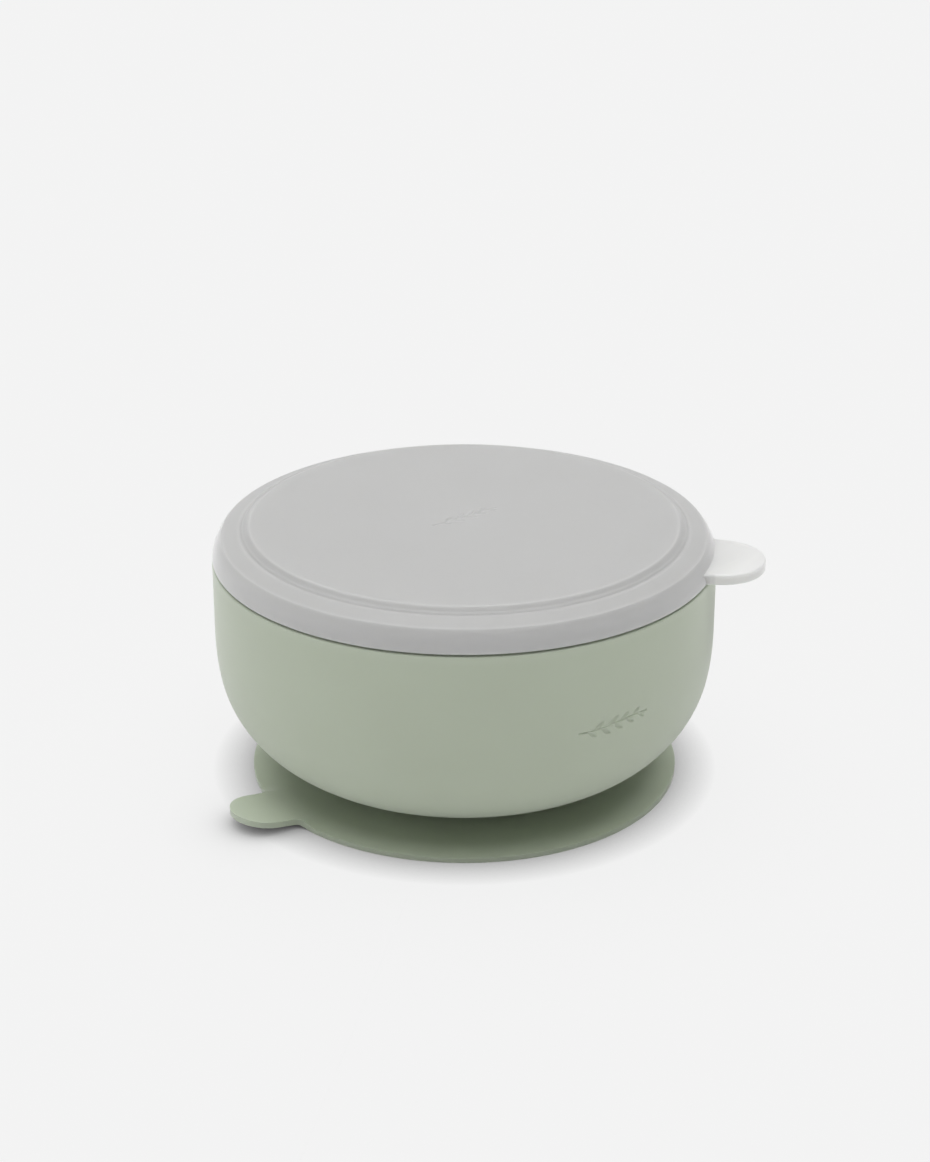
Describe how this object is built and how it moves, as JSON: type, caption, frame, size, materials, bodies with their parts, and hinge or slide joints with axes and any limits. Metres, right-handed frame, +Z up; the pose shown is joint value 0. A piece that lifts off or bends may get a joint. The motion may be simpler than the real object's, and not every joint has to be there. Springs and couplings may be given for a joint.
{
  "type": "suction bowl",
  "caption": "Round silicone feeding bowl on a suction disc with a release tab, and a push-on lid with a pull tab.",
  "frame": {"origin": "centre of the suction disc's sealing face, on the table plane", "axes": "+Z up along the bowl's axis; the release tab points along -X; the lid's pull tab points halfway between +X and -Y; -Y is the front"},
  "size_m": [0.1251, 0.12, 0.0645],
  "materials": {
    "bowl_silicone": "satin matte moulded silicone, sage",
    "lid_silicone": "satin milky natural silicone, slightly translucent"
  },
  "bodies": {
    "suction_base": {"suction_lip": "bowl_silicone", "suction_web": "bowl_silicone"},
    "release_tab": {"release_tab": "bowl_silicone"},
    "bowl": {"bowl_shell": "bowl_silicone", "base_stem": "bowl_silicone"},
    "lid": {"lid_cap": "lid_silicone", "lid_seal_ring": "lid_silicone"},
    "lid_tab": {"lid_tab": "lid_silicone"}
  },
  "joints": [
    {"name": "cup_press", "type": "slide", "parent": "suction_base", "child": "bowl", "axis": [0, 0, 1], "range_m": [-0.0015, 0], "stiffness_N_per_m": 8000, "springref_m": 0.0005, "deforming": ["suction_web"]},
    {"name": "release_tab_lift", "type": "hinge", "parent": "suction_base", "child": "release_tab", "pos_m": [-0.052, 0, 0.002], "axis": [0, 1, 0], "range_deg": [0, 60], "stiffness_Nm_per_rad": 0.01},
    {"name": "lid_lift", "type": "slide", "parent": "bowl", "child": "lid", "axis": [0, 0, 1], "range_m": [0, 0.08]},
    {"name": "lid_tab_flex", "type": "hinge", "parent": "lid", "child": "lid_tab", "pos_m": [0.0425, -0.0425, 0.0588], "axis": [-0.7071, -0.7071, 0], "range_deg": [0, 60], "stiffness_Nm_per_rad": 0.02}
  ]
}
